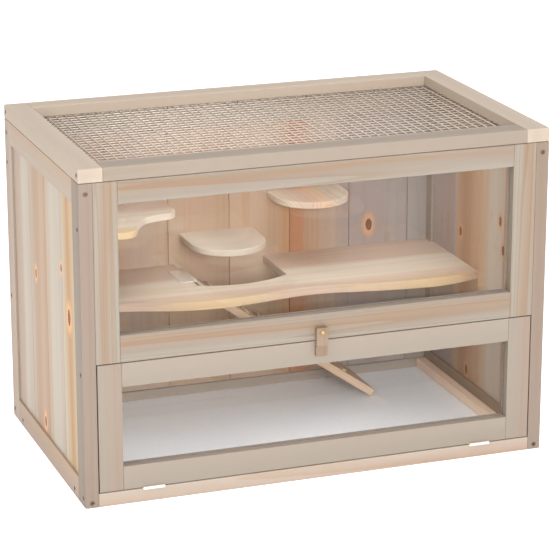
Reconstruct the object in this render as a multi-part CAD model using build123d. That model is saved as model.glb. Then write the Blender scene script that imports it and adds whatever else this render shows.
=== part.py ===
from build123d import *
import math
import os

# Wooden small-animal cage: a framed case of tongue-and-groove boards with a fixed glazed window,
# a glazed drop-down door, a hinged mesh lid, a platform with a ramp, and three shelves.
# Millimetres. X runs along the front, Y from front to back, Z up. The origin is the centre of the
# footprint, on the surface that the cage stands on.

# --- overall sizes -------------------------------------------------------------------------------
cage_length = 600.0
cage_depth = 350.0
cage_height = 420.0

# --- timber sections -----------------------------------------------------------------------------
stock = 17.0             # thickness of every frame member
rail_width = 30.0        # face width of the frame members
plank_thickness = 10.5   # boards of the side and back panels
plank_recess = 3.0       # how far the boards lie behind the outer face of their frame
plank_seat = 4.0         # how far the boards enter the grooves of their frame
groove_play = 0.1        # play on each face of a board in its groove
side_plank_width = 75.5
back_plank_width = 85.5
back_first_plank = 28.5  # the back's first board, at the right, is cut narrow
tongue_length = 3.0
tongue_thickness = 3.0
plank_gap = 0.6          # open line between two boards
edge_round = 0.8         # eased edge of every frame member

# --- lid -----------------------------------------------------------------------------------------
lid_thickness = 17.0
lid_gap = 0.5            # between lid and case
mesh_pitch = 12.0
mesh_wire = 1.5          # width of a wire
mesh_thickness = 3.0     # two crossed layers of wires
mesh_lap = 5.0           # how far the mesh runs over the lid's rebate
rebate_play = 1.0        # rebate wider than the mesh, on each side
staple_crown = 6.0
staple_wire = 0.8
staple_leg = 7.0
staple_cells = 8         # cells of mesh from staple to staple

# --- front ---------------------------------------------------------------------------------------
sill_height = 17.0
door_height = 161.0
door_side_gap = 1.2
door_bottom_gap = 1.0
door_top_gap = 1.0
window_top_width = 28.0
window_bottom_width = 33.5
pane_thickness = 2.5
pane_setback = 10.0      # from the front face of a frame to its pane
pane_seat = 4.5          # how far a pane enters its groove
pane_play = 0.1

# --- turn latch ----------------------------------------------------------------------------------
latch_width = 15.0
latch_length = 37.0
latch_thickness = 7.5
latch_thin_end = 4.6     # thickness of the thumb end
latch_step = 12.0        # length of the thumb end
latch_pivot_drop = 6.0   # from the latch's upper end to its screw
latch_pivot_height = 11.2  # from the window frame's lower edge to the screw
latch_play = 0.3

# --- floor ---------------------------------------------------------------------------------------
floor_thickness = 4.5
batten_width = 13.0
batten_height = 12.5

# --- platform and shelves ------------------------------------------------------------------------
platform_top = 188.0
platform_thickness = 11.0
hole_right = 46.0
hole_front_left = 62.0
hole_front_middle = 49.0
hole_front_right = 71.0
shelf_thickness = 9.0
shelf_width = 102.0
middle_shelf_top = 229.5
middle_shelf_x = -21.0
middle_shelf_depth = 97.0
upper_shelf_top = 276.5
upper_shelf_x = 103.0
upper_shelf_depth = 77.0
corner_shelf_reach = 195.5   # from the left boards to its right end
corner_shelf_depth = 128.5   # of its wide end, against the left boards
corner_shelf_neck = 66.0     # depth of its narrow end
corner_shelf_wide = 105.0    # length of its wide end
board_round = 1.5            # eased edge of platform, shelves and ramp

# --- ramp ----------------------------------------------------------------------------------------
ramp_slope = 35.2        # degrees below level, with its foot on the floor
ramp_width = 80.0
ramp_thickness = 10.0
ramp_y = 105.0           # its centre line
ramp_start = 6.0         # from the hinge axis to the ramp's upper end
ramp_foot_play = 0.3
cleat_count = 6
cleat_width = 6.0
cleat_height = 3.0
cleat_inset = 5.0
cleat_pitch = 42.0
cleat_first = 38.0

# --- hardware ------------------------------------------------------------------------------------
leaf_thickness = 0.8
leaf_length = 27.0
leaf_depth = 13.0        # how far a leaf reaches into the joint
knuckle_radius = 1.75
knuckle_gap = 0.2
knuckle_offset = 0.15    # knuckle clear of the wood's face
pin_radius = 0.8
pin_play = 0.06
ramp_leaf_length = 52.0
ramp_leaf_depth = 20.0
ramp_leaf_thickness = 1.0
ramp_knuckle_radius = 1.9
ramp_pin_radius = 0.9
door_hinge_x = 214.5
lid_hinge_x = 190.0
screw_head_radius = 3.2
screw_shank_radius = 1.7
screw_head_height = 2.2
small_head_radius = 2.0
small_shank_radius = 1.0
small_head_height = 0.9
small_screw_length = 8.0
recess_length = 3.6      # cross recess of a case screw
recess_width = 1.2
recess_depth = 1.3
screw_sunk = 0.4         # heads lie this far under the surface
screw_offset = 2.3       # two crossing screws pass this far above and below the middle
upper_screw_drop = 56.5  # from the top of the case to the upper screws of a side
latch_head_radius = 2.8
latch_head_height = 1.6

# --- places worked out from the sizes above ------------------------------------------------------
half_x = cage_length / 2
half_y = cage_depth / 2
lid_bottom = cage_height - lid_thickness
case_top = lid_bottom - lid_gap
inner_x = half_x - stock
inner_y = half_y - stock
post_y = half_y - rail_width
side_board_x = half_x - plank_recess - plank_thickness   # inner face of the side boards
back_board_y = half_y - plank_recess - plank_thickness   # inner face of the back boards
door_bottom = sill_height + door_bottom_gap
door_top = door_bottom + door_height
window_bottom = door_top + door_top_gap
door_half = inner_x - door_side_gap
platform_bottom = platform_top - platform_thickness
latch_z = window_bottom + latch_pivot_height
ramp_axis_x = hole_right - 123.0
ramp_axis_z = platform_top + ramp_leaf_thickness / 2
hole_left = ramp_axis_x - ramp_knuckle_radius - 0.3
slope = math.radians(ramp_slope)
ramp_drop = ramp_axis_z - floor_thickness - ramp_foot_play
ramp_below_axis = ramp_leaf_thickness / 2 + ramp_thickness
ramp_end = (ramp_drop - ramp_below_axis * math.cos(slope)) / math.sin(slope)

pieces = {}


def block(x, y, z, ease=0.0):
    """A box between two x, two y and two z values, with its edges eased."""
    solid = Box(abs(x[1] - x[0]), abs(y[1] - y[0]), abs(z[1] - z[0]))
    if ease:
        solid = fillet(solid.edges(), ease)
    return Pos(sum(x) / 2, sum(y) / 2, sum(z) / 2) * solid


def screw(point, outward, length, head=screw_head_radius, shank=screw_shank_radius,
          head_height=screw_head_height, sunk=screw_sunk):
    """A countersunk screw whose head lies just under the surface at point."""
    top = Pos(0, 0, -sunk - head_height / 2) * Cone(shank, head, head_height)
    body = Pos(0, 0, -sunk - (head_height + length) / 2) * Cylinder(shank, length - head_height)
    return Plane(origin=point, z_dir=outward) * (top + body)


def crossed(one, point, outward):
    """The screw with a cross recess cut in its head."""
    face = Plane(origin=point, z_dir=outward) * Pos(0, 0, -screw_sunk)
    slot = Box(recess_length, recess_width, 2 * recess_depth)
    return one - face * slot - face * Rot(0, 0, 90) * slot


def sink_hole(point, outward):
    """The open hole above a sunk screw head."""
    return Plane(origin=point, z_dir=outward) * Cylinder(screw_head_radius, 2 * screw_sunk)


def small_screw(point, outward, length=small_screw_length):
    """A hinge screw, flush with its leaf."""
    return screw(point, outward, length, small_head_radius, small_shank_radius,
                 small_head_height, 0.0)


def drill(screws, *names):
    """Cut the screws' own shapes out of the named pieces."""
    for name in names:
        for one in screws:
            pieces[name] = pieces[name] - one


def hinge_leaf(length, depth, low, high, own, count, radius, pin):
    """A butt hinge's leaf: X along the pin, Y into the wood, Z square to the leaf.

    The plate lies between low and high, measured from the pin's axis. The leaf owns the knuckles
    whose numbers are in own, out of count.
    """
    pitch = length / count
    clear = radius + knuckle_offset
    leaf = block((-length / 2, length / 2), (clear, depth), (low, high))
    for k in own:
        middle = -length / 2 + (k + 0.5) * pitch
        ends = (middle - (pitch - knuckle_gap) / 2, middle + (pitch - knuckle_gap) / 2)
        leaf += block(ends, (0, clear), (low, high))
        leaf += Pos(middle, 0, 0) * Rot(0, 90, 0) * Cylinder(radius, pitch - knuckle_gap)
    return leaf - Rot(0, 90, 0) * Cylinder(pin + pin_play, length + 2)


def plank(width, height, tongue, groove):
    """A board standing on its end: X across it, Y through it, tongue towards -X."""
    board = block((plank_gap / 2, width - plank_gap / 2), (0, plank_thickness), (0, height))
    long_edges = [e for e in board.edges().filter_by(Axis.Z)]
    board = chamfer(long_edges, 0.6)
    mid = plank_thickness / 2
    half = tongue_thickness / 2
    if tongue:
        board += block((-tongue_length, 1.0), (mid - half, mid + half), (0, height))
    if groove:
        inside = width - plank_gap / 2 - tongue_length - 0.4
        board -= block((inside, width), (mid - half - 0.15, mid + half + 0.15), (0, height))
    return board


def plank_edges(low, high, width, first):
    """Where the joints of a row of boards fall, from high down to low."""
    edges = [high, high - first]
    while edges[-1] - width > low:
        edges.append(edges[-1] - width)
    return edges + [low]


def side_frame(side, sign):
    """Posts, rails and boards of one side panel."""
    outer = sign * half_x
    inner = sign * inner_x
    x = (inner, outer)
    board_in = sign * side_board_x
    board_out = sign * (half_x - plank_recess)
    low_z = rail_width - plank_seat
    high_z = case_top - rail_width + plank_seat
    channel_x = (board_in - sign * groove_play, board_out + sign * groove_play)
    channel = block(channel_x, (-post_y - plank_seat - 0.3, post_y + plank_seat + 0.3),
                    (low_z - 0.3, high_z + 0.3))
    for name, y in (("front", (-half_y, -post_y)), ("rear", (post_y, half_y))):
        pieces[f"{side}_{name}_post"] = block(x, y, (0, case_top), edge_round) - channel
    rails = (("bottom", (0, rail_width)), ("top", (case_top - rail_width, case_top)))
    for name, z in rails:
        pieces[f"{side}_{name}_rail"] = block(x, (-post_y, post_y), z, edge_round) - channel
    edges = plank_edges(-post_y, post_y, side_plank_width, side_plank_width)
    edges[0] += plank_seat
    edges[-1] -= plank_seat
    for k, (high, low) in enumerate(zip(edges, edges[1:])):
        board = plank(high - low, high_z - low_z, k + 2 < len(edges), k > 0)
        turn = Rot(0, 0, 90)
        offset = max(board_in, board_out)
        pieces[f"{side}_board_{k + 1}"] = Pos(offset, low, low_z) * turn * board


def back_frame():
    """Rails and boards of the back panel, which stands between the rear posts."""
    y = (inner_y, half_y)
    low_z = sill_height - plank_seat
    high_z = case_top - rail_width + plank_seat
    channel = block((-inner_x - plank_seat - 0.3, inner_x + plank_seat + 0.3),
                    (back_board_y - groove_play, half_y - plank_recess + groove_play),
                    (low_z - 0.3, high_z + 0.3))
    span = (-inner_x, inner_x)
    pieces["back_bottom_rail"] = block(span, y, (0, sill_height), edge_round) - channel
    pieces["back_top_rail"] = block(span, y, (case_top - rail_width, case_top), edge_round) - channel
    for side in ("left", "right"):
        pieces[f"{side}_rear_post"] = pieces[f"{side}_rear_post"] - channel
    edges = plank_edges(-inner_x, inner_x, back_plank_width, back_first_plank)
    edges[0] += plank_seat
    edges[-1] -= plank_seat
    for k, (high, low) in enumerate(zip(edges, edges[1:])):
        board = plank(high - low, high_z - low_z, k + 2 < len(edges), k > 0)
        pieces[f"back_board_{k + 1}"] = Pos(low, back_board_y, low_z) * board


def glazed_frame(name, half_width, low, high, low_rail, high_rail):
    """Two stiles, two rails and a pane in a groove, in the front's thickness."""
    y = (-half_y, -inner_y)
    edge = half_width - rail_width
    pane_y = (-half_y + pane_setback, -half_y + pane_setback + pane_thickness)
    opening_z = (low + low_rail, high - high_rail)
    seat = pane_seat + 0.3
    groove = block((-edge - seat, edge + seat), (pane_y[0] - pane_play, pane_y[1] + pane_play),
                   (opening_z[0] - seat, opening_z[1] + seat))
    for side, sign in (("left", -1), ("right", 1)):
        x = (sign * edge, sign * half_width)
        pieces[f"{name}_{side}_stile"] = block(x, y, (low, high), edge_round) - groove
    for rail, z in (("bottom", (low, opening_z[0])), ("top", (opening_z[1], high))):
        pieces[f"{name}_{rail}_rail"] = block((-edge, edge), y, z, edge_round) - groove
    pieces[f"{name}_pane"] = block((-edge - pane_seat, edge + pane_seat), pane_y,
                                   (opening_z[0] - pane_seat, opening_z[1] + pane_seat))


def front():
    """Sill, fixed window and door."""
    pieces["front_sill"] = block((-inner_x, inner_x), (-half_y, -inner_y), (0, sill_height), edge_round)
    glazed_frame("window", inner_x, window_bottom, case_top, window_bottom_width, window_top_width)
    glazed_frame("door", door_half, door_bottom, door_top, rail_width, rail_width)


def floor():
    """The floor panel between the rails, and the two battens nailed over its ends."""
    edge = 0.2
    pieces["floor_panel"] = block((-inner_x + edge, inner_x - edge), (-inner_y + edge, inner_y - edge),
                                  (0, floor_thickness), 0.3)
    z = (floor_thickness, floor_thickness + batten_height)
    y = (-inner_y + 1, inner_y - 1)
    left = block((-inner_x, -inner_x + batten_width), y, z, edge_round)
    right = block((inner_x - batten_width, inner_x), y, z, edge_round)
    pieces["floor_battens"] = Compound(children=[left, right])


def against_boards(edge):
    """Whether an edge of a shelf lies against the side or back boards."""
    ends = [edge.position_at(0), edge.position_at(1)]
    at_side = all(abs(p.X) > side_board_x - 0.01 for p in ends)
    return at_side or all(p.Y > back_board_y - 0.01 for p in ends)


def board_from(curves, top, thickness):
    """A board of the outline that the curves close, with its free edges eased."""
    outline = make_face([edge for curve in curves for edge in curve.edges()])
    slab = extrude(Plane.XY.offset(top - thickness) * outline, thickness)
    rims = slab.edges().group_by(Axis.Z)
    free = [edge for edge in rims[0] + rims[-1] if not against_boards(edge)]
    return fillet(free, board_round)


def platform():
    """Wavy-fronted platform across the case, cut out at the back for the ramp."""
    x = side_board_x
    wave = [(-x, 26), (-190, 20), (-120, -2), (-20, -3), (55, 7), (140, -6), (215, -15), (x, -2)]
    front_edge = Spline(*wave, tangents=((1, 0), (1, 0.3)))
    sides = [(x, -2), (x, post_y), (inner_x, post_y), (inner_x, back_board_y),
             (hole_right, back_board_y)]
    middle_x = (hole_left + hole_right) / 2 - 5
    cut_front = ThreePointArc((hole_right, hole_front_right), (middle_x, hole_front_middle),
                              (hole_left, hole_front_left))
    rest = [(hole_left, hole_front_left), (hole_left, back_board_y), (-inner_x, back_board_y),
            (-inner_x, post_y), (-x, post_y), (-x, 26)]
    outline = [front_edge, Polyline(*sides), Line((hole_right, back_board_y),
               (hole_right, hole_front_right)), cut_front, Polyline(*rest)]
    pieces["platform"] = board_from(outline, platform_top, platform_thickness)


def round_shelf(name, centre_x, depth, top):
    """A shelf on the back boards with straight sides and a half-round front."""
    radius = shelf_width / 2
    shoulder = back_board_y - depth + radius
    back = [(centre_x + radius, shoulder), (centre_x + radius, back_board_y),
            (centre_x - radius, back_board_y), (centre_x - radius, shoulder)]
    arc = ThreePointArc(back[-1], (centre_x, shoulder - radius), back[0])
    pieces[name] = board_from([Polyline(*back), arc], top, shelf_thickness)


def corner_shelf():
    """An S-fronted shelf in the rear left corner."""
    x = -side_board_x
    y = back_board_y
    right = x + corner_shelf_reach
    neck_y = y - corner_shelf_neck
    wide_y = y - corner_shelf_depth
    wide_x = x + corner_shelf_wide
    corner = 22.0
    curve = Spline((wide_x, wide_y), (wide_x + 22, wide_y + 24), (wide_x + 46, neck_y - 3),
                   (right - corner, neck_y + 4), tangents=((1, 0.12), (1, 0.28)))
    tip = ThreePointArc((right - corner, neck_y + 4), (right - 4, neck_y + 13), (right, neck_y + 30))
    rest = Polyline((right, neck_y + 30), (right, y), (-inner_x, y), (-inner_x, post_y), (x, post_y),
                    (x, wide_y), (wide_x, wide_y))
    pieces["corner_shelf"] = board_from([curve, tip, rest], upper_shelf_top, shelf_thickness)


def ramp_plane():
    """The ramp's own frame: X towards the front, Y down the ramp, Z square to it."""
    return Plane(origin=(ramp_axis_x, ramp_y, ramp_axis_z), x_dir=(0, -1, 0),
                 z_dir=(math.sin(slope), 0, math.cos(slope)))


def ramp():
    """Ramp board, its cleats and its hinge at the cut-out's left edge."""
    frame = ramp_plane()
    surface = -ramp_leaf_thickness / 2
    half = ramp_width / 2
    board = block((-half, half), (ramp_start, ramp_end), (surface - ramp_thickness, surface),
                  edge_round)
    cleats = []
    for k in range(cleat_count):
        y = cleat_first + k * cleat_pitch
        cleats.append(frame * block((-half + cleat_inset, half - cleat_inset), (y, y + cleat_width),
                                    (surface, surface + cleat_height), edge_round))
    half_leaf = ramp_leaf_thickness / 2
    sizes = (ramp_leaf_length, ramp_leaf_depth, -half_leaf, half_leaf)
    fixed = hinge_leaf(*sizes, (0, 2, 4), 5, ramp_knuckle_radius, ramp_pin_radius)
    moving = hinge_leaf(*sizes, (1, 3), 5, ramp_knuckle_radius, ramp_pin_radius)
    level = Plane(origin=frame.origin, x_dir=(0, 1, 0), z_dir=(0, 0, 1))
    spots = [(x, ramp_leaf_depth * 0.62, half_leaf) for x in (-ramp_leaf_length / 3, ramp_leaf_length / 3)]
    level_screws = [level * small_screw(spot, (0, 0, 1), 9.0) for spot in spots]
    ramp_screws = [frame * small_screw(spot, (0, 0, 1), 9.0) for spot in spots]
    pieces["ramp_board"] = frame * board
    pieces["ramp_cleats"] = Compound(children=cleats)
    pieces["ramp_hinge_platform_leaf"] = level * fixed
    pieces["ramp_hinge_leaf"] = frame * moving
    drill(level_screws, "platform", "ramp_hinge_platform_leaf")
    drill(ramp_screws, "ramp_board", "ramp_hinge_leaf")
    pieces["ramp_hinge_platform_leaf"] = Compound(
        children=[pieces["ramp_hinge_platform_leaf"]] + level_screws)
    pieces["ramp_hinge_leaf"] = Compound(children=[pieces["ramp_hinge_leaf"]] + ramp_screws)
    return level * Rot(0, 90, 0) * Cylinder(ramp_pin_radius, ramp_leaf_length)


def mesh_cells(opening_half):
    """How many cells cover the lid's opening and its lap."""
    return math.ceil(2 * (opening_half + mesh_lap) / mesh_pitch)


def mesh_half(opening_half):
    """Half the mesh's width over an opening of the given half width."""
    return (mesh_cells(opening_half) * mesh_pitch + mesh_wire) / 2


def lid():
    """Lid frame, and welded mesh of two crossed layers of wires in a rebate under it."""
    z = (lid_bottom, cage_height)
    edge_x = half_x - rail_width
    rebate_x = mesh_half(edge_x) + rebate_play
    rebate_y = mesh_half(post_y) + rebate_play
    rebate_top = lid_bottom + mesh_thickness + staple_wire + 0.2
    rebate_cut = block((-rebate_x, rebate_x), (-rebate_y, rebate_y), (lid_bottom - 1, rebate_top))
    for side, sign in (("left", -1), ("right", 1)):
        x = (sign * edge_x, sign * half_x)
        pieces[f"lid_{side}_rail"] = block(x, (-half_y, half_y), z, edge_round) - rebate_cut
    for side, sign in (("front", -1), ("back", 1)):
        y = (sign * post_y, sign * half_y)
        pieces[f"lid_{side}_rail"] = block((-edge_x, edge_x), y, z, edge_round) - rebate_cut
    columns = mesh_cells(edge_x)
    rows = mesh_cells(post_y)
    low = rebate_top - mesh_thickness
    layer = mesh_thickness / 2
    wires = []
    for k in range(columns + 1):
        x = (k - columns / 2) * mesh_pitch
        wires.append(block((x - mesh_wire / 2, x + mesh_wire / 2),
                           (-mesh_half(post_y), mesh_half(post_y)), (low + layer, low + 2 * layer)))
    for k in range(rows + 1):
        y = (k - rows / 2) * mesh_pitch
        wires.append(block((-mesh_half(edge_x), mesh_half(edge_x)),
                           (y - mesh_wire / 2, y + mesh_wire / 2), (low, low + layer)))
    pieces["lid_mesh"] = Compound(children=wires)
    return rebate_top - mesh_thickness


def staples(crown_top):
    """Staples across the mesh's outermost wires, legs up into the lid's rails."""
    found = []
    low = crown_top - staple_wire
    half = staple_wire / 2
    leg = (staple_crown - staple_wire) / 2
    edge_x = half_x - rail_width
    for turn, reach, side in ((90, edge_x, post_y), (0, post_y, edge_x)):
        border = mesh_half(side) - mesh_wire / 2
        pitch = staple_cells * mesh_pitch
        count = int(2 * reach / pitch)
        offset = (mesh_cells(reach) + staple_cells * (count - 1) + 1) % 2 * mesh_pitch / 2
        for sign in (-1, 1):
            for k in range(count):
                along = (k - (count - 1) / 2) * pitch + offset
                staple = block((-leg - half, leg + half), (-half, half), (low, crown_top))
                for end in (-leg, leg):
                    staple += block((end - half, end + half), (-half, half), (low, low + staple_leg))
                spot = Pos(along, sign * border, 0) if turn else Pos(sign * border, along, 0)
                found.append(spot * Rot(0, 0, turn) * staple)
    return found


def butt_hinges():
    """Two hinges under the door and two behind the lid, their leaves let into the joints."""
    reach = knuckle_radius + knuckle_offset
    fixed_leaves, pins = [], []
    places = (("door", door_hinge_x, -half_y - reach, sill_height, door_bottom_gap, 1,
               "front_sill", "door_bottom_rail"),
              ("lid", lid_hinge_x, half_y + reach, case_top, lid_gap, -1,
               "back_top_rail", "lid_back_rail"))
    for name, x, y, z, gap, facing, fixed_wood, moving_wood in places:
        moving_leaves = []
        depth = leaf_depth + reach
        low = hinge_leaf(leaf_length, depth, -gap / 2 - leaf_thickness, -gap / 2, (0, 2), 3,
                         knuckle_radius, pin_radius)
        high = hinge_leaf(leaf_length, depth, gap / 2, gap / 2 + leaf_thickness, (1,), 3,
                          knuckle_radius, pin_radius)
        for sign in (-1, 1):
            frame = Plane(origin=(sign * x, y, z + gap / 2), x_dir=(facing, 0, 0), z_dir=(0, 0, 1))
            spots = [(s * leaf_length / 3, reach + leaf_depth * 0.55) for s in (-1, 1)]
            low_screws = [frame * small_screw((u, v, -gap / 2), (0, 0, 1)) for u, v in spots]
            high_screws = [frame * small_screw((u, v, gap / 2), (0, 0, -1)) for u, v in spots]
            low_leaf = frame * low
            high_leaf = frame * high
            drill([low_leaf] + low_screws, fixed_wood)
            drill([high_leaf] + high_screws, moving_wood)
            for one in low_screws:
                low_leaf = low_leaf - one
            for one in high_screws:
                high_leaf = high_leaf - one
            fixed_leaves += [low_leaf] + low_screws
            moving_leaves += [high_leaf] + high_screws
            pins.append(frame * Rot(0, 90, 0) * Cylinder(pin_radius, leaf_length))
        pieces[f"{name}_hinge_leaves"] = Compound(children=moving_leaves)
    pieces["hinge_case_leaves"] = Compound(children=fixed_leaves)
    return pins


def latch():
    """Wooden turn latch over the door's top edge, and the screw that it turns on."""
    back = -half_y - latch_play
    top = latch_z + latch_pivot_drop
    bottom = top - latch_length
    half = latch_width / 2
    body = block((-half, half), (back - latch_thickness, back), (bottom, top))
    step_top = bottom + latch_step
    body -= block((-half - 1, half + 1), (back - latch_thickness - 1, back - latch_thin_end),
                  (bottom - 1, step_top))
    body = fillet(body.edges().filter_by(Axis.Y), 2.0)
    face = back - latch_thickness
    shank = screw_shank_radius
    bore = Pos(0, face, latch_z) * Rot(90, 0, 0) * Cylinder(shank + pin_play, 3 * latch_thickness)
    pieces["latch"] = body - bore
    head = Pos(0, face - latch_head_height / 2 - 0.1, latch_z) * Rot(90, 0, 0) * Cylinder(
        latch_head_radius, latch_head_height)
    head = fillet(head.edges().sort_by(Axis.Y)[0], 1.2)
    length = latch_thickness + latch_play + 14.0
    stem = Pos(0, face - 0.1 + length / 2, latch_z) * Rot(90, 0, 0) * Cylinder(shank, length)
    pieces["latch_screw"] = head + stem
    drill([pieces["latch_screw"]], "window_bottom_rail")


def case_screws():
    """Screws of the case: corner joints, panels, battens, platform and shelves."""
    found = []

    def put(point, outward, length, *names):
        one = screw(point, outward, length)
        drill([one, sink_hole(point, outward)], *names)
        found.append(crossed(one, point, outward))

    rail_x = half_x - stock / 2
    panel_y = half_y - stock / 2
    low_middle = sill_height / 2
    top_middle = case_top - rail_width / 2
    upper_z = case_top - upper_screw_drop
    for side, sign in (("left", -1), ("right", 1)):
        out = (sign, 0, 0)
        put((sign * half_x, -panel_y, upper_z), out, 40, f"{side}_front_post", f"window_{side}_stile")
        put((sign * half_x, -panel_y, 167), out, 15, f"{side}_front_post")
        end_board = "back_board_1" if sign > 0 else f"back_board_{back_count}"
        for z in (upper_z, 167):
            put((sign * half_x, back_board_y + plank_thickness / 2, z), out, 38,
                f"{side}_rear_post", end_board)
        for y in (-126, 126):
            put((sign * half_x, y, 8), out, 27, f"{side}_bottom_rail", "floor_battens")
        for end, way in (("front", -1), ("rear", 1)):
            for rail, z in (("top", top_middle + screw_offset), ("bottom", low_middle - screw_offset)):
                put((sign * rail_x, way * half_y, z), (0, way, 0), 44, f"{side}_{end}_post",
                    f"{side}_{rail}_rail")
        for z, board in ((low_middle + screw_offset, "back_bottom_rail"),
                         (top_middle - screw_offset, "back_top_rail")):
            put((sign * half_x, panel_y, z), out, 42, f"{side}_rear_post", board)
        put((sign * half_x, -panel_y, low_middle + screw_offset), out, 42, f"{side}_front_post", "front_sill")
    back_face = half_y - plank_recess
    held = (("platform", platform_top - platform_thickness / 2, (-240, -125, 100, 240)),
            ("corner_shelf", upper_shelf_top - shelf_thickness / 2, (-240, -130)),
            ("middle_shelf", middle_shelf_top - shelf_thickness / 2,
             (middle_shelf_x - 27, middle_shelf_x + 27)),
            ("upper_shelf", upper_shelf_top - shelf_thickness / 2,
             (upper_shelf_x - 27, upper_shelf_x + 27)))
    for name, z, places in held:
        for x in places:
            boards = [n for n, e in back_spans.items() if e[0] - 4 < x < e[1] + 4]
            put((x, back_face, z), (0, 1, 0), 32, name, *boards)
    return found


side_frame("left", -1)
side_frame("right", 1)
back_frame()
back_edges = plank_edges(-inner_x, inner_x, back_plank_width, back_first_plank)
back_count = len(back_edges) - 1
back_spans = {f"back_board_{k + 1}": (low, high)
              for k, (high, low) in enumerate(zip(back_edges, back_edges[1:]))}
front()
floor()
platform()
round_shelf("middle_shelf", middle_shelf_x, middle_shelf_depth, middle_shelf_top)
round_shelf("upper_shelf", upper_shelf_x, upper_shelf_depth, upper_shelf_top)
corner_shelf()
crown_top = lid()
pins = butt_hinges()
pins.append(ramp())
pieces["hinge_pins"] = Compound(children=pins)
latch()
pieces["case_screws"] = Compound(children=case_screws())

lid_spots = [((sign * half_x, y, cage_height - lid_thickness / 2), (sign, 0, 0))
             for sign in (-1, 1) for y in (-168, 168)]
lid_screws = [screw(point, outward, 50) for point, outward in lid_spots]
lid_holes = [sink_hole(point, outward) for point, outward in lid_spots]
drill(lid_screws + lid_holes, "lid_left_rail", "lid_right_rail", "lid_front_rail", "lid_back_rail")
lid_staples = staples(crown_top)
drill(lid_staples, "lid_left_rail", "lid_right_rail", "lid_front_rail", "lid_back_rail")
lid_heads = [crossed(one, *spot) for one, spot in zip(lid_screws, lid_spots)]
pieces["lid_fasteners"] = Compound(children=lid_heads + lid_staples)

os.makedirs("parts", exist_ok=True)
for name, piece in pieces.items():
    export_step(piece, f"parts/{name}.step")
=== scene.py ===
import math

import bpy
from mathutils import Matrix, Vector


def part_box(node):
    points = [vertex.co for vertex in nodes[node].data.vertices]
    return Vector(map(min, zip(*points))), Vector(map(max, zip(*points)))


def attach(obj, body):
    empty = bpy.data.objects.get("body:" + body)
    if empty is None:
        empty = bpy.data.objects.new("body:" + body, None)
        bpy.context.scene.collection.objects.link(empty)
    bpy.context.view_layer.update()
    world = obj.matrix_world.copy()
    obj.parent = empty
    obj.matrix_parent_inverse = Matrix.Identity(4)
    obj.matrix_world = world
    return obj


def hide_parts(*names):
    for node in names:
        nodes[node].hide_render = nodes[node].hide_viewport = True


# Looks of a wooden small-animal cage: sanded softwood frame and boards, clear panes, a lid of
# welded wire mesh, dark screws with crossed recesses and plated hinges. Metres, in the row frame.

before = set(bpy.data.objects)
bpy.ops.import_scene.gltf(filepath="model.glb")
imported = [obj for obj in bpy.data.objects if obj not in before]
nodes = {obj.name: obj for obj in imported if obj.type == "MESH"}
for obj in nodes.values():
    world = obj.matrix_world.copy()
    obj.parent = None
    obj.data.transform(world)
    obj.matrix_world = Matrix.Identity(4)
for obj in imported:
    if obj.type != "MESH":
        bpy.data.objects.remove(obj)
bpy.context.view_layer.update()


def linear(*rgb, shade=1.0):
    """A colour given in 0 to 255 steps, as shader values, made darker or lighter by shade."""
    steps = [value / 255.0 for value in rgb]
    parts = [s / 12.92 if s <= 0.04045 else ((s + 0.055) / 1.055) ** 2.4 for s in steps]
    return tuple(min(part * shade, 0.95) for part in parts) + (1.0,)


# --- camera, light and floor -----------------------------------------------------------------

CAMERA_EYE = (-1.0311, -2.8682, 1.1506)
CAMERA_AZIMUTH = math.radians(19.90)
CAMERA_DROP = math.radians(17.17)
CAMERA_LENS = 162.5
FAR_CLIP = 50.0

# Soft lights, as (name, place, point aimed at, width, power).
SOFTBOXES = (
    ("key", (-3.0, -1.2, 1.6), (0.0, 0.0, 0.15), 1.8, 50.0),
    ("front", (-0.2, -2.85, 0.92), (0.0, 0.0, 0.1), 0.9, 72.0),
    ("fill", (2.4, -2.2, 1.4), (0.0, 0.0, 0.2), 2.0, 12.0),
    ("top", (0.1, 0.1, 2.6), (0.0, 0.0, 0.0), 2.2, 46.0),
)
SKY_STRENGTH = 0.9
SKY_WHITE = (1.0, 1.0, 1.0, 1.0)
PAPER_WHITE = (0.93, 0.93, 0.93, 1.0)
PAPER_SIZE = 16.0
PAPER_DROP = 0.0005      # how far the paper lies below the cage
PAPER_GLOW = 0.34        # keeps the paper as pale as the sky


def new_material(name):
    """A material with its node tree and its Principled BSDF."""
    material = bpy.data.materials.new(name)
    material.use_nodes = True
    tree = material.node_tree
    return material, tree, tree.nodes["Principled BSDF"]


def add_camera():
    """The camera, looking along the given azimuth and down by the given drop."""
    data = bpy.data.cameras.new("camera")
    data.lens = CAMERA_LENS
    data.clip_end = FAR_CLIP
    camera = bpy.data.objects.new("camera", data)
    ahead = Vector((math.sin(CAMERA_AZIMUTH) * math.cos(CAMERA_DROP),
                    math.cos(CAMERA_AZIMUTH) * math.cos(CAMERA_DROP), -math.sin(CAMERA_DROP)))
    camera.location = CAMERA_EYE
    camera.rotation_euler = ahead.to_track_quat("-Z", "Y").to_euler()
    bpy.context.scene.collection.objects.link(camera)
    bpy.context.scene.camera = camera


def add_softbox(name, place, aim, width, power):
    """A square area light at a place, aimed at a point."""
    data = bpy.data.lights.new(name, "AREA")
    data.shape = "SQUARE"
    data.size = width
    data.energy = power
    light = bpy.data.objects.new(name, data)
    light.location = place
    light.rotation_euler = (Vector(aim) - Vector(place)).to_track_quat("-Z", "Y").to_euler()
    bpy.context.scene.collection.objects.link(light)


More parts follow.
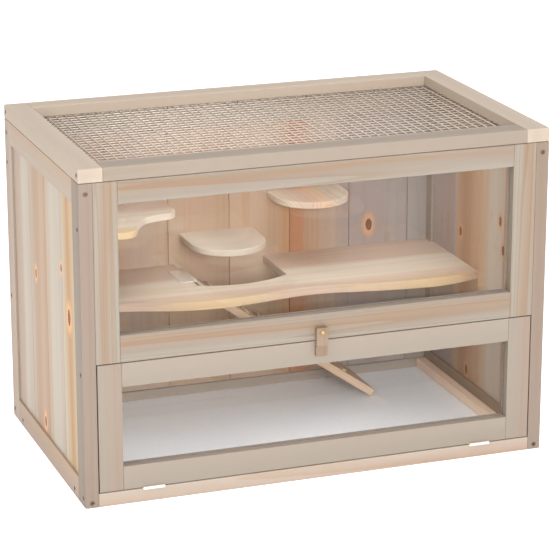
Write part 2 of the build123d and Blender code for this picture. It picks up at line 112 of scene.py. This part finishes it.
def add_studio():
    """Pale floor, even sky and four soft lights."""
    scene = bpy.context.scene
    scene.view_settings.view_transform = "Standard"
    world = bpy.data.worlds.new("studio")
    world.use_nodes = True
    sky = world.node_tree.nodes["Background"]
    sky.inputs["Color"].default_value = SKY_WHITE
    sky.inputs["Strength"].default_value = SKY_STRENGTH
    scene.world = world
    for softbox in SOFTBOXES:
        add_softbox(*softbox)
    bpy.ops.object.select_all(action="DESELECT")
    bpy.ops.mesh.primitive_plane_add(size=PAPER_SIZE, location=(0.0, 0.0, -PAPER_DROP))
    ground = bpy.context.active_object
    ground.name = "studio_floor"
    paper, _, shader = new_material("studio_paper")
    shader.inputs["Base Color"].default_value = PAPER_WHITE
    shader.inputs["Roughness"].default_value = 0.9
    shader.inputs["Emission Color"].default_value = SKY_WHITE
    shader.inputs["Emission Strength"].default_value = PAPER_GLOW
    ground.data.materials.append(paper)


# --- shader groups ---------------------------------------------------------------------------

def new_group(name, inputs, outputs):
    """An empty shader group with named sockets, given as (name, socket type) pairs."""
    group = bpy.data.node_groups.new(name, "ShaderNodeTree")
    for label, kind in inputs:
        group.interface.new_socket(label, in_out="INPUT", socket_type=kind)
    for label, kind in outputs:
        group.interface.new_socket(label, in_out="OUTPUT", socket_type=kind)
    start = group.nodes.new("NodeGroupInput")
    end = group.nodes.new("NodeGroupOutput")
    return group, start, end


def calc(tree, operation, first, second=None, third=None):
    """A Math node's output: each operand is a socket or a number."""
    node = tree.nodes.new("ShaderNodeMath")
    node.operation = operation
    for k, operand in enumerate((first, second, third)):
        if operand is None:
            continue
        if isinstance(operand, (int, float)):
            node.inputs[k].default_value = operand
        else:
            tree.links.new(operand, node.inputs[k])
    return node.outputs[0]


def blend_colour(tree, mask, first, second, mode="MIX"):
    """A Mix node's colour: mask, first and second are sockets or values."""
    node = tree.nodes.new("ShaderNodeMix")
    node.data_type = "RGBA"
    node.blend_type = mode
    for socket, value in ((node.inputs["Factor"], mask), (node.inputs[6], first),
                          (node.inputs[7], second)):
        if isinstance(value, (float, tuple)):
            socket.default_value = value
        else:
            tree.links.new(value, socket)
    return node.outputs[2]


def soft_step(tree, value, low, high):
    """0 below low, 1 above high, smooth between."""
    node = tree.nodes.new("ShaderNodeMapRange")
    node.interpolation_type = "SMOOTHSTEP"
    tree.links.new(value, node.inputs["Value"])
    for label, edge in (("From Min", low), ("From Max", high)):
        if isinstance(edge, (int, float)):
            node.inputs[label].default_value = edge
        else:
            tree.links.new(edge, node.inputs[label])
    return node.outputs["Result"]


def noise(tree, vector, scale, detail=2.0, roughness=0.5):
    """A Noise node's value. scale is a socket or a number."""
    node = tree.nodes.new("ShaderNodeTexNoise")
    node.inputs["Detail"].default_value = detail
    node.inputs["Roughness"].default_value = roughness
    if isinstance(scale, (int, float)):
        node.inputs["Scale"].default_value = scale
    else:
        tree.links.new(scale, node.inputs["Scale"])
    tree.links.new(vector, node.inputs["Vector"])
    return node.outputs["Fac"]


def scaled(tree, vector, factors):
    """A vector with each axis multiplied."""
    node = tree.nodes.new("ShaderNodeVectorMath")
    node.operation = "MULTIPLY"
    tree.links.new(vector, node.inputs[0])
    node.inputs[1].default_value = factors
    return node.outputs[0]


# Noise of the grain: fine fibres drawn out along the timber, and slow drifts of tone.
FIBRE_SCALE = 900.0
FIBRE_STRETCH = (1.0, 1.0, 0.018)
DRIFT_SCALE = 11.0
DRIFT_STRETCH = (1.0, 1.0, 0.25)
DRIFT_WEIGHT = 0.55

# A knot: its height against its width, its ragged edge, and where its halo, heart and rim end.
KNOT_STRETCH = (1.0, 1.0, 0.55)
KNOT_RAG_SCALE = 260.0
KNOT_RAG = 0.55
KNOT_HALO_EDGE = (2.6, 1.1)
KNOT_HEART_EDGE = (1.05, 0.8)
KNOT_RIM_EDGE = (0.55, 0.85)
KNOT_RIM = (0.035, 0.016, 0.008, 1.0)


def make_grain_group():
    """Softwood grain along Z: growth rings cut lengthwise, fine fibres and slow drifts of tone."""
    group, start, end = new_group(
        "softwood_grain",
        (("Vector", "NodeSocketVector"), ("Wood", "NodeSocketColor"),
         ("Latewood", "NodeSocketColor"), ("Rings", "NodeSocketFloat"),
         ("Ring Scale", "NodeSocketFloat"), ("Run", "NodeSocketFloat"),
         ("Contrast", "NodeSocketFloat"), ("Fibre", "NodeSocketFloat")),
        (("Color", "NodeSocketColor"), ("Roughness", "NodeSocketFloat"),
         ("Height", "NodeSocketFloat")))
    vector = start.outputs["Vector"]
    apart = group.nodes.new("ShaderNodeSeparateXYZ")
    group.links.new(vector, apart.inputs[0])
    along = group.nodes.new("ShaderNodeCombineXYZ")
    group.links.new(apart.outputs["X"], along.inputs["X"])
    group.links.new(apart.outputs["Y"], along.inputs["Y"])
    slow = calc(group, "MULTIPLY", apart.outputs["Z"], start.outputs["Run"])
    group.links.new(slow, along.inputs["Z"])
    rings = noise(group, along.outputs[0], start.outputs["Ring Scale"], 1.2, 0.4)
    rings = calc(group, "FRACT", calc(group, "MULTIPLY", rings, start.outputs["Rings"]))
    rise = calc(group, "POWER", rings, 2.2)
    fall = soft_step(group, rings, 1.0, 0.93)
    late = calc(group, "MULTIPLY", rise, fall)
    fibres = noise(group, scaled(group, vector, FIBRE_STRETCH), FIBRE_SCALE, 3.0, 0.7)
    fibres = calc(group, "SUBTRACT", fibres, 0.5)
    drift = noise(group, scaled(group, vector, DRIFT_STRETCH), DRIFT_SCALE, 2.0)
    drift = calc(group, "SUBTRACT", drift, 0.5)
    tone = calc(group, "MULTIPLY", late, start.outputs["Contrast"])
    tone = calc(group, "MULTIPLY_ADD", fibres, start.outputs["Fibre"], tone)
    tone = calc(group, "MULTIPLY_ADD", drift, DRIFT_WEIGHT, tone)
    tone = soft_step(group, tone, -0.35, 1.35)
    tone = calc(group, "MULTIPLY_ADD", tone, 1.5, -0.28)
    clamp = group.nodes.new("ShaderNodeClamp")
    group.links.new(tone, clamp.inputs["Value"])
    mask = clamp.outputs[0]
    early = start.outputs["Wood"]
    darker = blend_colour(group, 1.0, early, start.outputs["Latewood"], "MULTIPLY")
    group.links.new(blend_colour(group, mask, early, darker), end.inputs["Color"])
    group.links.new(calc(group, "MULTIPLY_ADD", mask, -0.12, 0.62), end.inputs["Roughness"])
    group.links.new(calc(group, "MULTIPLY_ADD", fibres, 0.6, mask), end.inputs["Height"])
    return group


def make_knot_group():
    """A knot: dark heart with a ring round it and a halo that fades into the board."""
    group, start, end = new_group(
        "knot",
        (("Color", "NodeSocketColor"), ("Vector", "NodeSocketVector"),
         ("Centre", "NodeSocketVector"), ("Radius", "NodeSocketFloat"),
         ("Heart", "NodeSocketColor"), ("Halo", "NodeSocketColor")),
        (("Color", "NodeSocketColor"),))
    apart = group.nodes.new("ShaderNodeVectorMath")
    apart.operation = "SUBTRACT"
    group.links.new(start.outputs["Vector"], apart.inputs[0])
    group.links.new(start.outputs["Centre"], apart.inputs[1])
    gap = group.nodes.new("ShaderNodeVectorMath")
    gap.operation = "LENGTH"
    group.links.new(scaled(group, apart.outputs[0], KNOT_STRETCH), gap.inputs[0])
    radius = start.outputs["Radius"]
    ragged = noise(group, start.outputs["Vector"], KNOT_RAG_SCALE, 2.0)
    ragged = calc(group, "MULTIPLY_ADD", ragged, 0.9, -0.45)
    reach = calc(group, "DIVIDE", gap.outputs["Value"], radius)
    reach = calc(group, "MULTIPLY_ADD", ragged, KNOT_RAG, reach)
    halo = soft_step(group, reach, *KNOT_HALO_EDGE)
    colour = blend_colour(group, calc(group, "MULTIPLY", halo, 0.75), start.outputs["Color"],
                          start.outputs["Halo"])
    heart = soft_step(group, reach, *KNOT_HEART_EDGE)
    rim = calc(group, "MULTIPLY", soft_step(group, reach, *KNOT_RIM_EDGE), heart)
    inner = blend_colour(group, rim, start.outputs["Heart"], KNOT_RIM)
    group.links.new(blend_colour(group, heart, colour, inner), end.inputs["Color"])
    return group


GRAIN = make_grain_group()
KNOT = make_knot_group()

# How the pattern turns so that its Z runs with the timber.
GRAIN_TURNS = {"x": (0.0, math.pi / 2, 0.0), "y": (math.pi / 2, 0.0, 0.0), "z": (0.0, 0.0, 0.0)}
KNOT_HEART = linear(112, 66, 38)
KNOT_HALO = linear(205, 150, 100)


def place_group(tree, group, values):
    """A group node with its values set and its sockets linked."""
    node = tree.nodes.new("ShaderNodeGroup")
    node.node_tree = group
    for label, value in values.items():
        if isinstance(value, bpy.types.NodeSocket):
            tree.links.new(value, node.inputs[label])
        else:
            node.inputs[label].default_value = value
    return node


# Painted light and shade: each kind of member's colour is scaled by a share, darker where the
# front and key lamps fall most and lighter on the inside members that get little light.
FACING = 0.29            # front posts, window frame, lid's front rail and latch
DOOR = 0.33
OUTSIDE = 0.45           # the rest of the framing
LEFT_WALL = 0.48
INSIDE = 0.76            # right wall and ramp
BACK_WALL = 0.60
SHELF = 0.88             # platform and shelves
LOW_INSIDE = 1.35        # battens on the floor

PLAIN_LATE = (0.88, 0.77, 0.66, 1.0)
SOFT_LATE = (0.90, 0.83, 0.75, 1.0)
WARM_LATE = (0.90, 0.76, 0.62, 1.0)
SEED_STEP = (0.731, 0.417, 1.193)
WANDER_SCALE = 22.0
WANDER_STRETCH = (1.0, 1.0, 0.12)
WANDER_REACH = 0.034     # how far, in all, a band's edge wanders


# The shade argument scales every band's colour, which paints light and shade into the timber.
def wood(name, grain, bands, across, span, latewood=PLAIN_LATE, rings=14.0, ring_scale=13.0,
         run=0.03, contrast=0.6, fibre=0.5, seed=0, shade=OUTSIDE, knots=()):
    """A softwood material.

    grain is the axis that the timber runs along, or its turn. bands are (place, colour) pairs
    across the timber, from 0 to 1 over the span. run is how fast the rings change along the
    timber. knots are (centre, radius) pairs.
    """
    material, tree, shader = new_material(name)
    spot = tree.nodes.new("ShaderNodeTexCoord").outputs["Object"]
    turned = tree.nodes.new("ShaderNodeMapping")
    turned.inputs["Rotation"].default_value = GRAIN_TURNS.get(grain, grain)
    turned.inputs["Location"].default_value = tuple(seed * step for step in SEED_STEP)
    tree.links.new(spot, turned.inputs["Vector"])
    split = tree.nodes.new("ShaderNodeSeparateXYZ")
    tree.links.new(spot, split.inputs[0])
    wander = noise(tree, scaled(tree, turned.outputs[0], WANDER_STRETCH), WANDER_SCALE, 2.0)
    wander = calc(tree, "MULTIPLY_ADD", wander, WANDER_REACH, -WANDER_REACH / 2)
    place = calc(tree, "ADD", split.outputs[across.upper()], wander)
    place = calc(tree, "SUBTRACT", place, span[0])
    place = calc(tree, "DIVIDE", place, span[1] - span[0])
    ramp = tree.nodes.new("ShaderNodeValToRGB")
    ramp.color_ramp.interpolation = "EASE"
    while len(ramp.color_ramp.elements) < len(bands):
        ramp.color_ramp.elements.new(0.5)
    for stop, (position, colour) in zip(ramp.color_ramp.elements, bands):
        stop.position = position
        stop.color = linear(*colour, shade=shade)
    tree.links.new(place, ramp.inputs["Fac"])
    timber = place_group(tree, GRAIN, {
        "Vector": turned.outputs[0], "Wood": ramp.outputs["Color"], "Latewood": latewood,
        "Rings": rings, "Ring Scale": ring_scale, "Run": run, "Contrast": contrast, "Fibre": fibre})
    colour = timber.outputs["Color"]
    for centre, radius in knots:
        knot = place_group(tree, KNOT, {
            "Color": colour, "Vector": spot, "Centre": centre, "Radius": radius,
            "Heart": KNOT_HEART, "Halo": KNOT_HALO})
        colour = knot.outputs["Color"]
    tree.links.new(colour, shader.inputs["Base Color"])
    tree.links.new(timber.outputs["Roughness"], shader.inputs["Roughness"])
    bump = tree.nodes.new("ShaderNodeBump")
    bump.inputs["Strength"].default_value = 0.18
    bump.inputs["Distance"].default_value = 0.0004
    tree.links.new(timber.outputs["Height"], bump.inputs["Height"])
    tree.links.new(bump.outputs["Normal"], shader.inputs["Normal"])
    shader.inputs["Specular IOR Level"].default_value = 0.35
    return material


def dress(node, material):
    """Gives a CAD node its material in place of the plain one."""
    owner = nodes[node]
    if not owner.material_slots:
        owner.data.materials.append(None)
    for place in owner.material_slots:
        place.material = material


def dress_timber(node, grain, bands, across, span=None, **finish):
    """Gives a node its own softwood, with its bands across the node unless a span is given."""
    if span is None:
        low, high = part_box(node)
        axis = "xyz".index(across)
        span = (low[axis], high[axis])
    dress(node, wood(f"{node}_wood", grain, bands, across, span, **finish))


# --- plain finishes --------------------------------------------------------------------------

def clear_pane(name):
    """Clear sheet, all but invisible from the front."""
    material, _, shader = new_material(name)
    shader.inputs["Base Color"].default_value = (0.985, 0.99, 0.99, 1.0)
    shader.inputs["Roughness"].default_value = 0.03
    shader.inputs["IOR"].default_value = 1.2
    shader.inputs["Transmission Weight"].default_value = 1.0
    shader.inputs["Alpha"].default_value = 0.1
    return material


SMUDGE_SCALE = 420.0
DULLING = 0.72           # how dark the duller patches of a metal are
PLATING = 0.55


def metal(name, colour, roughness, wear=0.12):
    """Plated or drawn metal with fine uneven gloss."""
    material, tree, shader = new_material(name)
    spot = tree.nodes.new("ShaderNodeTexCoord").outputs["Object"]
    smudge = noise(tree, spot, SMUDGE_SCALE, 3.0, 0.6)
    duller = tuple(DULLING * part for part in linear(*colour)[:3]) + (1.0,)
    shade = blend_colour(tree, soft_step(tree, smudge, 0.42, 0.72), linear(*colour), duller)
    tree.links.new(shade, shader.inputs["Base Color"])
    gloss = calc(tree, "MULTIPLY_ADD", smudge, wear, roughness - wear / 2)
    tree.links.new(gloss, shader.inputs["Roughness"])
    shader.inputs["Metallic"].default_value = PLATING
    return material


def white_panel(name):
    """Smooth white facing with a faint cool cast and light scuffs."""
    material, tree, shader = new_material(name)
    spot = tree.nodes.new("ShaderNodeTexCoord").outputs["Object"]
    drift = noise(tree, spot, 6.0, 2.0)
    shade = blend_colour(tree, soft_step(tree, drift, 0.3, 0.7), linear(238, 243, 248),
                         linear(243, 246, 250))
    tree.links.new(shade, shader.inputs["Base Color"])
    scuffs = noise(tree, scaled(tree, spot, (1.0, 6.0, 1.0)), 140.0, 4.0, 0.7)
    tree.links.new(calc(tree, "MULTIPLY_ADD", scuffs, 0.2, 0.2), shader.inputs["Roughness"])
    return material


# --- timber finishes -------------------------------------------------------------------------

CREAM = (219, 207, 190)
LID_TONE = (219, 199, 178)
PALE = (212, 194, 176)
BEIGE = (205, 190, 172)
PINK = (207, 182, 163)
PEACH = (216, 186, 158)
TAN = (205, 172, 142)
ORANGE = (212, 164, 120)
YELLOW = (222, 194, 150)
GREIGE = (202, 190, 174)
GREY = (186, 176, 168)
MAUVE = (184, 168, 162)
WARM = (214, 180, 152)
BROWN = (190, 150, 120)
RUST = (206, 142, 100)

# Close straight lines of the window frame's timber.
STRIPED = {"latewood": WARM_LATE, "rings": 46, "ring_scale": 20.0, "run": 0.006, "contrast": 0.9}
BATTEN_SPAN = (0.0, 0.02)
LATCH_SPAN = (0.160, 0.198)
LATCH_STEP = (0.32, 0.36)      # where the latch's thumb end begins, as a share of its span


def dress_framing():
    """Posts, rails, stiles, sill, battens and latch."""
    for side, seed in (("left", 1), ("right", 2)):
        dress_timber(f"{side}_front_post", "z", ((0.0, PINK), (0.5, PALE), (1.0, PEACH)), "y",
                     rings=16, seed=seed, shade=FACING)
        dress_timber(f"{side}_rear_post", "z", ((0.0, PALE), (1.0, PINK)), "y", rings=12,
                     seed=seed + 2)
        for rail, tone in (("top", PALE), ("bottom", PINK)):
            dress_timber(f"{side}_{rail}_rail", "y", ((0.0, tone), (1.0, PEACH)), "z", rings=14,
                         seed=seed + 5)
        dress_timber(f"lid_{side}_rail", "y", ((0.0, LID_TONE), (0.5, PALE), (1.0, LID_TONE)), "x",
                     latewood=SOFT_LATE, rings=9, contrast=0.45, seed=seed + 7)
        dress_timber(f"window_{side}_stile", "z", ((0.0, CREAM), (0.5, PEACH), (1.0, CREAM)), "x",
                     seed=seed + 10, shade=FACING, **STRIPED)
        dress_timber(f"door_{side}_stile", "z", ((0.0, BEIGE), (1.0, PINK)), "x",
                     latewood=SOFT_LATE, rings=10, contrast=0.5, seed=seed + 13, shade=DOOR)
    for place, seed, shade in (("front", 21, FACING), ("back", 24, OUTSIDE)):
        dress_timber(f"lid_{place}_rail", "x", ((0.0, LID_TONE), (0.6, PALE), (1.0, LID_TONE)),
                     "y", latewood=SOFT_LATE, rings=10, contrast=0.5, seed=seed, shade=shade)
    for rail, seed in (("bottom", 31), ("top", 33)):
        dress_timber(f"window_{rail}_rail", "x",
                     ((0.0, CREAM), (0.35, PALE), (0.65, PEACH), (1.0, PALE)), "z",
                     seed=seed, shade=FACING, **STRIPED)
        dress_timber(f"door_{rail}_rail", "x", ((0.0, BEIGE), (1.0, PALE)), "z",
                     latewood=SOFT_LATE, rings=8, ring_scale=9.0, contrast=0.45, seed=seed + 4,
                     shade=DOOR)
        dress_timber(f"back_{rail}_rail", "x", ((0.0, PALE), (1.0, BEIGE)), "z", rings=12,
                     seed=seed + 7)
    dress_timber("front_sill", "x", ((0.0, PINK), (1.0, PALE)), "z", rings=12, contrast=0.7,
                 seed=44)
    dress_timber("floor_battens", "y", ((0.0, PINK), (1.0, PALE)), "z", span=BATTEN_SPAN,
                 rings=12, seed=47, shade=LOW_INSIDE)
    dress_timber("latch", "z",
                 ((0.0, TAN), (LATCH_STEP[0], TAN), (LATCH_STEP[1], PEACH), (1.0, TAN)), "z",
                 span=LATCH_SPAN, rings=10, ring_scale=40.0, seed=49, shade=FACING)


# Faces of the boards that knots are seen on, and the size of the right wall's knots.
LEFT_OUTER = -0.2970
RIGHT_INNER = 0.2863
BACK_INNER = 0.1613
RIGHT_KNOT = 0.0038

# Each board's bands of colour, from its low side to its high side, its rings, their contrast,
# and its knots, as (centre, radius).
WALL_BOARDS = {
    "left_board_1": (((0.0, PALE), (0.45, CREAM), (0.6, PINK), (1.0, PINK)), 10, 0.5, ()),
    "left_board_2": (((0.0, TAN), (0.3, PEACH), (0.6, TAN), (1.0, PALE)), 12, 0.6,
                     (((LEFT_OUTER, 0.045, 0.232), 0.0035), ((LEFT_OUTER, 0.016, 0.045), 0.004))),
    "left_board_3": (((0.0, PALE), (0.4, CREAM), (0.7, CREAM), (1.0, PEACH)), 10, 0.5,
                     (((LEFT_OUTER, -0.078, 0.274), 0.003),)),
    "left_board_4": (((0.0, CREAM), (0.3, YELLOW), (0.55, ORANGE), (0.75, YELLOW), (1.0, CREAM)),
                     14, 0.7, (((LEFT_OUTER, -0.110, 0.221), 0.006),)),
    "right_board_1": (((0.0, GREY), (0.15, MAUVE), (0.6, MAUVE), (1.0, GREY)), 12, 0.5, ()),
    "right_board_2": (((0.0, ORANGE), (0.15, TAN), (0.6, BROWN), (1.0, TAN)), 12, 0.5,
                      (((RIGHT_INNER, 0.054, 0.227), RIGHT_KNOT),
                       ((RIGHT_INNER, 0.026, 0.042), RIGHT_KNOT))),
    "right_board_3": (((0.0, BROWN), (0.12, PALE), (0.45, CREAM), (0.8, PEACH), (1.0, ORANGE)),
                      12, 0.5, (((RIGHT_INNER, -0.069, 0.273), RIGHT_KNOT),
                                ((RIGHT_INNER, -0.079, 0.237), RIGHT_KNOT))),
    "right_board_4": (((0.0, CREAM), (0.6, PALE), (1.0, BROWN)), 12, 0.5, ()),
    "back_board_1": (((0.0, GREY), (1.0, GREY)), 12, 0.5, ()),
    "back_board_2": (((0.0, MAUVE), (0.5, MAUVE), (0.8, GREY), (1.0, GREY)), 12, 0.5,
                     (((0.198, BACK_INNER, 0.216), 0.0048),)),
    "back_board_3": (((0.0, RUST), (0.2, RUST), (0.45, TAN), (0.7, PINK), (1.0, MAUVE)),
                     14, 0.7, ()),
    "back_board_4": (((0.0, WARM), (0.5, PEACH), (0.75, TAN), (1.0, ORANGE)), 12, 0.6, ()),
    "back_board_5": (((0.0, PEACH), (0.5, WARM), (1.0, TAN)), 12, 0.6, ()),
    "back_board_6": (((0.0, WARM), (0.5, PINK), (1.0, PEACH)), 12, 0.6, ()),
    "back_board_7": (((0.0, WARM), (0.5, PINK), (1.0, WARM)), 12, 0.6, ()),
    "back_board_8": (((0.0, PINK), (1.0, WARM)), 12, 0.6, ()),
}

# How each wall's boards lie: the axis across them, and the share that paints light and shade
# into their colour.
WALLS = {"left": ("y", LEFT_WALL), "right": ("y", INSIDE), "back": ("x", BACK_WALL)}
FIRST_WALL_SEED = 60


def dress_walls():
    """Side and back boards, each with its own bands, rings and knots."""
    for seed, (node, (bands, rings, contrast, knots)) in enumerate(WALL_BOARDS.items(),
                                                                   FIRST_WALL_SEED):
        across, shade = WALLS[node.split("_")[0]]
        dress_timber(node, "z", bands, across, latewood=WARM_LATE, rings=rings, ring_scale=18.0,
                     run=0.02, contrast=contrast, fibre=0.6, seed=seed, shade=shade, knots=knots)


RAMP_SLOPE = math.radians(35.2)


def dress_shelves():
    """Platform, shelves and ramp."""
    dress_timber("platform", "x", ((0.0, YELLOW), (0.14, PINK), (0.3, CREAM), (0.5, CREAM),
                                   (0.65, PINK), (1.0, PINK)), "y",
                 latewood=SOFT_LATE, rings=16, contrast=0.8, seed=81, shade=SHELF)
    dress_timber("corner_shelf", "x", ((0.0, YELLOW), (0.25, CREAM), (0.55, CREAM), (0.8, PINK),
                                       (1.0, PINK)), "y",
                 latewood=SOFT_LATE, rings=14, contrast=0.8, seed=82, shade=SHELF)
    dress_timber("middle_shelf", "y", ((0.0, CREAM), (0.5, GREIGE), (1.0, PALE)), "x",
                 latewood=SOFT_LATE, rings=7, contrast=0.4, seed=83, shade=SHELF)
    dress_timber("upper_shelf", "y", ((0.0, CREAM), (0.3, PINK), (0.55, PEACH), (0.8, GREIGE),
                                      (1.0, CREAM)), "x",
                 latewood=WARM_LATE, rings=30, contrast=1.0, seed=84, shade=SHELF)
    down_ramp = (0.0, math.pi / 2 - RAMP_SLOPE, 0.0)
    dress_timber("ramp_board", down_ramp, ((0.0, PEACH), (1.0, TAN)), "y", rings=14,
                 contrast=0.7, seed=85, shade=INSIDE)
    dress_timber("ramp_cleats", "y", ((0.0, PEACH), (1.0, PALE)), "y", rings=10, seed=86,
                 shade=INSIDE)


# --- lid mesh --------------------------------------------------------------------------------

WIRE_RADIUS = 0.00075
WIRE_SIDES = 8
WIRE_PITCH = 0.012
WIRE_END_BEVEL = 0.0002
WIRE_SMOOTH_ANGLE = math.radians(50.0)


def round_wire(start, end):
    """One straight round wire with eased cut ends."""
    middle = (Vector(start) + Vector(end)) / 2
    span = Vector(end) - Vector(start)
    bpy.ops.mesh.primitive_cylinder_add(
        vertices=WIRE_SIDES, radius=WIRE_RADIUS, depth=span.length, location=middle,
        rotation=span.to_track_quat("Z", "Y").to_euler())
    wire = bpy.context.active_object
    bpy.ops.object.mode_set(mode="EDIT")
    bpy.ops.mesh.select_all(action="SELECT")
    bpy.ops.mesh.bevel(offset=WIRE_END_BEVEL, segments=1)
    bpy.ops.object.mode_set(mode="OBJECT")
    return wire


def settle(name, parts):
    """Joins parts into one piece whose object sits at the origin, with its place in its mesh."""
    bpy.ops.object.select_all(action="DESELECT")
    for part in parts:
        part.select_set(True)
    bpy.context.view_layer.objects.active = parts[0]
    bpy.ops.object.join()
    piece = bpy.context.active_object
    bpy.ops.object.transform_apply(location=True, rotation=True, scale=True)
    piece.name = name
    piece.data.name = name
    return piece


def copy_by(original, offset):
    """A copy of a part with its own mesh, moved by an offset."""
    twin = original.copy()
    twin.data = original.data.copy()
    twin.location = original.location + Vector(offset)
    bpy.context.scene.collection.objects.link(twin)
    return twin


def make_lid_mesh(material):
    """Welded mesh of round wires: the layer along Y lies on the layer along X."""
    low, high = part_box("lid_mesh")
    layer = (high[2] - low[2]) / 2
    sink = layer - WIRE_RADIUS
    edge_x = high[0] - WIRE_RADIUS
    edge_y = high[1] - WIRE_RADIUS
    bpy.ops.object.select_all(action="DESELECT")
    first = round_wire((-edge_x, low[1], high[2] - sink), (-edge_x, high[1], high[2] - sink))
    columns = round(2 * edge_x / WIRE_PITCH)
    parts = [first] + [copy_by(first, (k * WIRE_PITCH, 0.0, 0.0)) for k in range(1, columns + 1)]
    bpy.ops.object.select_all(action="DESELECT")
    first = round_wire((low[0], -edge_y, low[2] + sink), (high[0], -edge_y, low[2] + sink))
    rows = round(2 * edge_y / WIRE_PITCH)
    parts += [first] + [copy_by(first, (0.0, k * WIRE_PITCH, 0.0)) for k in range(1, rows + 1)]
    mesh = settle("lid_wire_mesh", parts)
    bpy.ops.object.shade_smooth_by_angle(angle=WIRE_SMOOTH_ANGLE)
    mesh.data.materials.append(material)
    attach(mesh, "lid")
    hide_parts("lid_mesh")


add_camera()
add_studio()
dress_framing()
dress_walls()
dress_shelves()
pane = clear_pane("clear_sheet")
dress("window_pane", pane)
dress("door_pane", pane)
dress("floor_panel", white_panel("white_facing"))
plated = metal("plated_hinge", (236, 228, 218), 0.42)
for hinge_node in ("hinge_case_leaves", "hinge_pins", "door_hinge_leaves", "lid_hinge_leaves",
                   "ramp_hinge_leaf", "ramp_hinge_platform_leaf"):
    dress(hinge_node, plated)
dark_screw = metal("dark_screw", (96, 84, 72), 0.5)
dress("case_screws", dark_screw)
dress("latch_screw", metal("brass_screw", (168, 138, 92), 0.45))
dress("lid_fasteners", dark_screw)
make_lid_mesh(metal("galvanised_wire", (196, 184, 172), 0.5))
